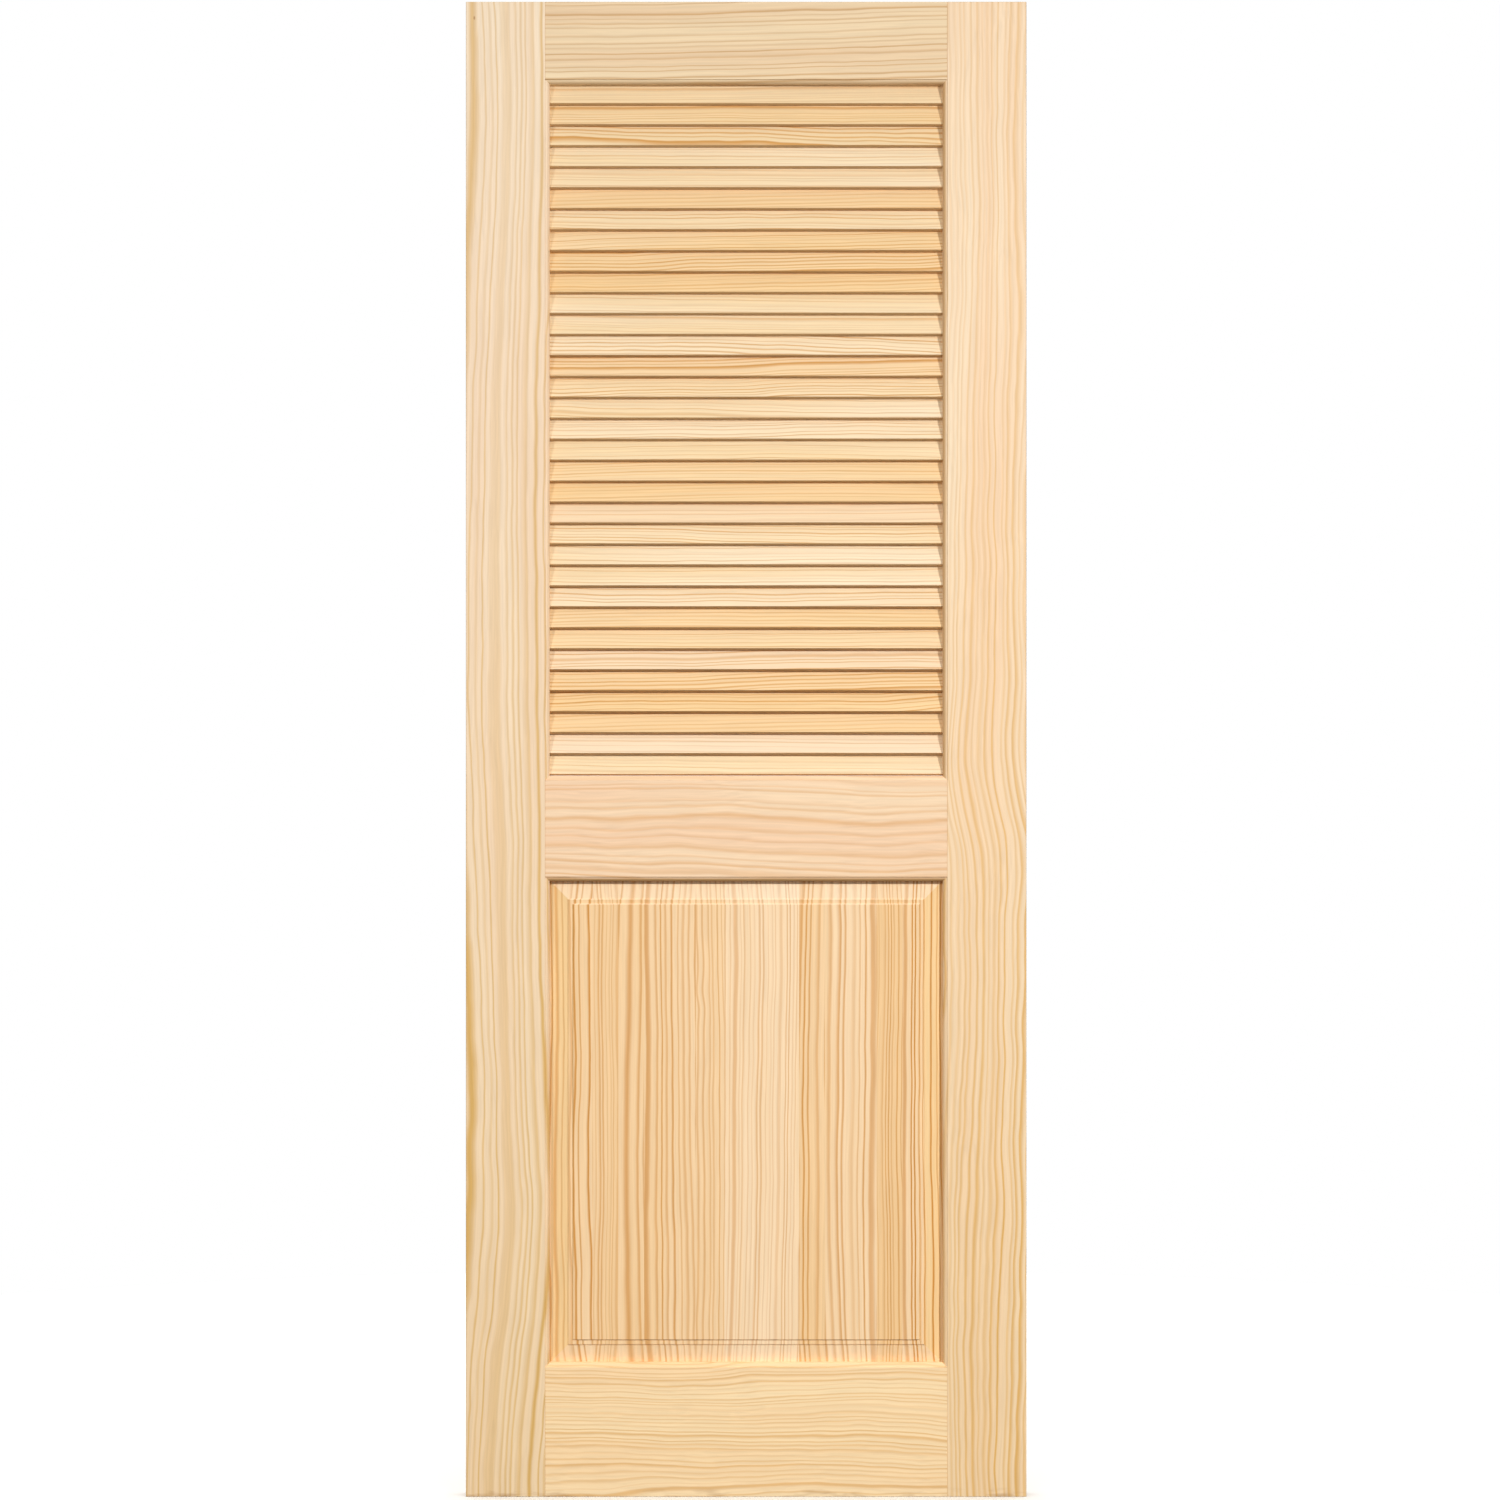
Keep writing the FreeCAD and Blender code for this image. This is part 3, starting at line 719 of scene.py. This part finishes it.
def slat_row():
    """Geometry Nodes tree that crowns one slat and lays a row of them, each with its own log and warmth."""
    tree = bpy.data.node_groups.new("louvre_row", "GeometryNodeTree")
    sockets(tree, "INPUT", {
        "Count": "Int", "Pitch": "Float", "Length": "Float", "Width": "Float", "Thickness": "Float",
        "Crown": "Float", "Tilt": "Float", "Play": "Float", "Lowest": "Vector", "Seed": "Int",
        "Material": "Material",
    })
    sockets(tree, "OUTPUT", {"Geometry": "Geometry"})
    start = node(tree, "NodeGroupInput").outputs

    size = node(
        tree, "ShaderNodeCombineXYZ", {"X": start["Length"], "Y": start["Thickness"], "Z": start["Width"]},
    ).outputs[0]
    blank = node(
        tree, "GeometryNodeMeshCube",
        {"Size": size, "Vertices X": 2, "Vertices Y": CROWN_POINTS, "Vertices Z": 2},
    ).outputs["Mesh"]
    # Crown: an arc through the two corners of an edge that rises by Crown between them
    half = maths(tree, "MULTIPLY", start["Thickness"], 0.5)
    half_square = maths(tree, "MULTIPLY", half, half)
    crown_square = maths(tree, "MULTIPLY", start["Crown"], start["Crown"])
    squares = maths(tree, "ADD", half_square, crown_square)
    twice = maths(tree, "MULTIPLY", start["Crown"], 2.0)
    radius = maths(tree, "DIVIDE", squares, twice)
    spot = node(tree, "GeometryNodeInputPosition").outputs[0]
    parts = parts_of(tree, spot)
    radius_square = maths(tree, "MULTIPLY", radius, radius)
    through_square = maths(tree, "MULTIPLY", parts["Y"], parts["Y"])
    under = maths(tree, "SUBTRACT", radius_square, through_square)
    arc = maths(tree, "SQRT", under)
    drop = maths(tree, "SUBTRACT", arc, radius)
    side = maths(tree, "SIGN", parts["Z"])
    lift = maths(tree, "MULTIPLY", drop, side)
    offset = node(tree, "ShaderNodeCombineXYZ", {"Z": lift}).outputs[0]
    crowned = node(tree, "GeometryNodeSetPosition", {"Geometry": blank, "Offset": offset}).outputs[0]
    slat = node(
        tree, "GeometryNodeStoreNamedAttribute", {"Geometry": crowned, "Name": "slat_place", "Value": spot},
        data_type="FLOAT_VECTOR", domain="POINT",
    ).outputs[0]

    step = node(tree, "ShaderNodeCombineXYZ", {"Z": start["Pitch"]}).outputs[0]
    row = node(
        tree, "GeometryNodeMeshLine",
        {"Count": start["Count"], "Start Location": start["Lowest"], "Offset": step},
    ).outputs[0]
    number = node(tree, "GeometryNodeInputIndex").outputs[0]
    least = maths(tree, "MULTIPLY", start["Play"], -1.0)
    lean = node(
        tree, "FunctionNodeRandomValue",
        {FLOAT_LOW: least, FLOAT_HIGH: start["Play"], RANDOM_ID: number, RANDOM_SEED: start["Seed"]},
        data_type="FLOAT",
    ).outputs[FLOAT_OUT]
    back = maths(tree, "SUBTRACT", lean, start["Tilt"])
    angles = node(tree, "ShaderNodeCombineXYZ", {"X": back}).outputs[0]
    turned = node(tree, "FunctionNodeEulerToRotation", {0: angles}).outputs[0]
    laid = node(
        tree, "GeometryNodeInstanceOnPoints", {"Points": row, "Instance": slat, "Rotation": turned},
    ).outputs[0]
    for name, low, high in SLAT_DRAWS:
        pick = node(
            tree, "FunctionNodeRandomValue",
            {VECTOR_LOW: low, VECTOR_HIGH: high, RANDOM_ID: number, RANDOM_SEED: start["Seed"]},
            data_type="FLOAT_VECTOR",
        ).outputs[VECTOR_OUT]
        laid = node(
            tree, "GeometryNodeStoreNamedAttribute", {"Geometry": laid, "Name": name, "Value": pick},
            data_type="FLOAT_VECTOR", domain="INSTANCE",
        ).outputs[0]
    real = node(tree, "GeometryNodeRealizeInstances", {"Geometry": laid}).outputs[0]
    finished = node(
        tree, "GeometryNodeSetMaterial", {"Geometry": real, "Material": start["Material"]},
    ).outputs[0]
    node(tree, "NodeGroupOutput", {"Geometry": finished})
    return tree


def slat_place(tree):
    """Nodes that read a slat's own coordinates, grain a little aslant of Z, moved to its part of a log."""
    inputs = {"Vector": carried(tree, "slat_place"), "Rotation": (0, math.pi / 2, 0)}
    turned = node(tree, "ShaderNodeMapping", inputs).outputs[0]
    along = parts_of(tree, turned)["Z"]
    slope = parts_of(tree, carried(tree, "slat_grain"))["X"]
    aside = maths(tree, "MULTIPLY", along, slope)
    slant = node(tree, "ShaderNodeCombineXYZ", {"X": aside}).outputs[0]
    slanted = vectors(tree, "ADD", turned, slant)
    return vectors(tree, "ADD", slanted, carried(tree, "slat_log")), None


def slat_colours(tree, row):
    """Nodes that lean each slat's colours towards honey or blush, and give it its own rings."""
    louvre = bpy.context.scene.door_louvre
    tone = parts_of(tree, carried(tree, "slat_tone"))
    ring, wave = parts_of(tree, carried(tree, "slat_grain"))[1:]
    leaning = {
        "Late": ranged(tree, tone["Z"], onto=SLAT_LATE),
        "Ring": maths(tree, "MULTIPLY", ring, row["ring"] * MM),
        "Wave": maths(tree, "MULTIPLY", wave, row["bend"][1] * MM),
    }
    honeyed = ranged(tree, tone["X"], HONEY_DRAW, SLAT_CAST)
    blushed = ranged(tree, tone["Y"], BLUSH_DRAW, SLAT_CAST)
    for key, colour in zip(("Pale", "Warm"), row["colours"]):
        sweet = blend(tree, honeyed, linear(colour), tuple(louvre.honey))
        leaning[key] = blend(tree, blushed, sweet, tuple(louvre.blush))
    return leaning


class DOOR_OT_lay_slats(bpy.types.Operator):
    """Lay the louvre's slats between the stiles, the topmost ripped level under the top rail"""

    bl_idname = "door.lay_slats"
    bl_label = "Lay slats"

    def execute(self, context):
        louvre = context.scene.door_louvre
        names = [f"slat_{number:02d}" for number in range(1, louvre.count + 1)]
        low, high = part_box(names[-1])
        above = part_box(names[-2])[0]
        material = planed_pine("planed_pine_slats", "louvre_slats", slat_place, slat_colours)
        piece = bpy.data.objects.new("louvre_slats", bpy.data.meshes.new("louvre_slats"))
        context.scene.collection.objects.link(piece)
        row = piece.modifiers.new("row", "NODES")
        row.node_group = slat_row()
        values = {
            "Count": louvre.count, "Pitch": above.z - low.z, "Length": high.x - low.x, "Width": louvre.width,
            "Thickness": louvre.thickness, "Crown": louvre.crown, "Tilt": louvre.tilt, "Play": louvre.play,
            "Lowest": (low + high) / 2, "Seed": louvre.seed, "Material": material,
        }
        for socket in row.node_group.interface.items_tree:
            if socket.in_out == "INPUT":
                row[socket.identifier] = values[socket.name]
        settle(piece)
        self.rip_top(piece.data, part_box(names[0])[1].z)
        shade(piece.data, ROUNDED)
        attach(piece, "root")
        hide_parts(*names)
        return {"FINISHED"}

    def rip_top(self, mesh, height):
        """Saw off what stands above the underside of the top rail."""
        solid = bmesh.new()
        solid.from_mesh(mesh)
        everything = [*solid.verts, *solid.edges, *solid.faces]
        bmesh.ops.bisect_plane(
            solid, geom=everything, plane_co=(0, 0, height), plane_no=(0, 0, 1), clear_outer=True,
        )
        open_edges = [edge for edge in solid.edges if edge.is_boundary]
        bmesh.ops.holes_fill(solid, edges=open_edges, sides=0)
        bmesh.ops.recalc_face_normals(solid, faces=solid.faces)
        solid.to_mesh(mesh)
        solid.free()


class DOOR_OT_set_stage(bpy.types.Operator):
    """Set the floor, the lamps and a camera square to the leaf"""

    bl_idname = "door.set_stage"
    bl_label = "Set stage"

    def execute(self, context):
        scene = context.scene
        stage = scene.door_stage
        scene.view_settings.view_transform = "Standard"
        low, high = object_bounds()
        middle = (low + high) / 2

        leaf = bpy.data.collections.new("leaf")
        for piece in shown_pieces():
            leaf.objects.link(piece)
        target = Vector((middle.x, 0, LAMP_AIM))
        for name, place in LAMPS.items():
            self.hang_lamp(scene, name, Vector(place), getattr(stage, name), target, leaf)

        floor = self.lay_floor(scene, stage, middle)
        self.light_floor(scene, floor, middle)
        self.hang_dome(scene)

        camera = bpy.data.cameras.new("camera")
        camera.sensor_width = SENSOR
        camera.lens = camera.sensor_width * stage.distance / stage.frame_height
        camera.clip_end = CAMERA_REACH
        viewer = bpy.data.objects.new("camera", camera)
        viewer.location = (middle.x + CAMERA_ASIDE, low.y - stage.distance, middle.z - CAMERA_DROP)
        viewer.rotation_euler = (math.pi / 2, 0, 0)
        scene.collection.objects.link(viewer)
        scene.camera = viewer
        return {"FINISHED"}

    def hang_lamp(self, scene, name, place, strength, target, leaf):
        """Round lamp, turned to a target low on the leaf, that lights the leaf alone, foot and head alike."""
        disc = bpy.data.lights.new(f"{name}_lamp", "AREA")
        disc.shape = "DISK"
        disc.size = LAMP_SIZE
        disc.energy = strength
        disc.use_nodes = True
        tree = disc.node_tree
        tree.nodes.clear()
        even = node(tree, "ShaderNodeLightFalloff", {"Strength": 1.0}).outputs["Constant"]
        glow = node(tree, "ShaderNodeEmission", {"Strength": even}).outputs[0]
        node(tree, "ShaderNodeOutputLight", {0: glow})
        lamp = bpy.data.objects.new(f"{name}_lamp", disc)
        lamp.location = place
        lamp.rotation_mode = "QUATERNION"
        lamp.rotation_quaternion = (place - target).to_track_quat("Z", "Y")
        lamp.visible_camera = False
        scene.collection.objects.link(lamp)
        lamp.light_linking.receiver_collection = leaf

    def lay_floor(self, scene, stage, middle):
        """Pale painted floor, matt, that the leaf stands on."""
        mesh = bpy.data.meshes.new("floor")
        disc = bmesh.new()
        bmesh.ops.create_circle(disc, cap_ends=True, segments=FLOOR_SIDES, radius=FLOOR_RADIUS)
        bmesh.ops.translate(disc, verts=disc.verts, vec=(middle.x, 0, 0))
        disc.to_mesh(mesh)
        disc.free()
        floor = bpy.data.objects.new("floor", mesh)
        scene.collection.objects.link(floor)
        material = bpy.data.materials.new("pale_matt_paint")
        material.use_nodes = True
        shader = material.node_tree.nodes["Principled BSDF"]
        shader.inputs["Base Color"].default_value = stage.floor
        shader.inputs["Roughness"].default_value = FLOOR_ROUGHNESS
        mesh.materials.append(material)
        floor.visible_diffuse = False
        floor.visible_glossy = False
        floor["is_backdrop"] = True
        return floor

    def light_floor(self, scene, floor, middle):
        """Broad soft lamp overhead for the floor alone."""
        sun = bpy.data.lights.new("floor_lamp", "SUN")
        sun.energy = OVERHEAD_STRENGTH
        sun.angle = OVERHEAD_SPREAD
        lamp = bpy.data.objects.new("floor_lamp", sun)
        lamp.location = (middle.x, 0, OVERHEAD_HEIGHT)
        scene.collection.objects.link(lamp)
        ground = bpy.data.collections.new("ground")
        ground.objects.link(floor)
        lamp.light_linking.receiver_collection = ground

    def hang_dome(self, scene):
        """White surround, brighter above than below for what it lights."""
        world = bpy.data.worlds.new("studio_dome")
        scene.world = world
        world.use_nodes = True
        tree = world.node_tree
        tree.nodes.clear()
        direction = node(tree, "ShaderNodeTexCoord").outputs["Generated"]
        up = parts_of(tree, direction)["Z"]
        strength = ranged(tree, up, (-1.0, 1.0), (0.0, DOME_STRENGTH))
        lighting = node(tree, "ShaderNodeBackground", {"Color": WHITE, "Strength": strength}).outputs[0]
        seen = node(tree, "ShaderNodeBackground", {"Color": WHITE, "Strength": 1.0}).outputs[0]
        ray = node(tree, "ShaderNodeLightPath").outputs["Is Camera Ray"]
        mixed = node(tree, "ShaderNodeMixShader", {0: ray, 1: lighting, 2: seen}).outputs[0]
        node(tree, "ShaderNodeOutputWorld", {"Surface": mixed})


class DOOR_PT_leaf(bpy.types.Panel):
    """Sizes, colours and steps of the door leaf"""

    bl_idname = "DOOR_PT_leaf"
    bl_label = "Louvred door"
    bl_space_type = "VIEW_3D"
    bl_region_type = "UI"
    bl_category = "Door"

    def draw(self, context):
        for name, kind in SETTINGS.items():
            box = self.layout.box()
            for setting in kind.__annotations__:
                box.prop(getattr(context.scene, name), setting)
        for step in STEPS:
            self.layout.operator(step.bl_idname)


STEPS = (DOOR_OT_fit_stiles, DOOR_OT_fit_rails, DOOR_OT_fit_panel, DOOR_OT_lay_slats, DOOR_OT_set_stage)
SETTINGS = {"door_pine": DoorPine, "door_louvre": DoorLouvre, "door_stage": DoorStage}
KINDS = (*SETTINGS.values(), *STEPS, DOOR_PT_leaf)


def register():
    for kind in KINDS:
        bpy.utils.register_class(kind)
    for name, kind in SETTINGS.items():
        setattr(bpy.types.Scene, name, PointerProperty(type=kind))


def unregister():
    for name in SETTINGS:
        delattr(bpy.types.Scene, name)
    for kind in reversed(KINDS):
        bpy.utils.unregister_class(kind)


def main():
    register()
    bpy.ops.door.fit_stiles()
    bpy.ops.door.fit_rails()
    bpy.ops.door.fit_panel()
    bpy.ops.door.lay_slats()
    bpy.ops.door.set_stage()


if __name__ == "__main__":
    main()
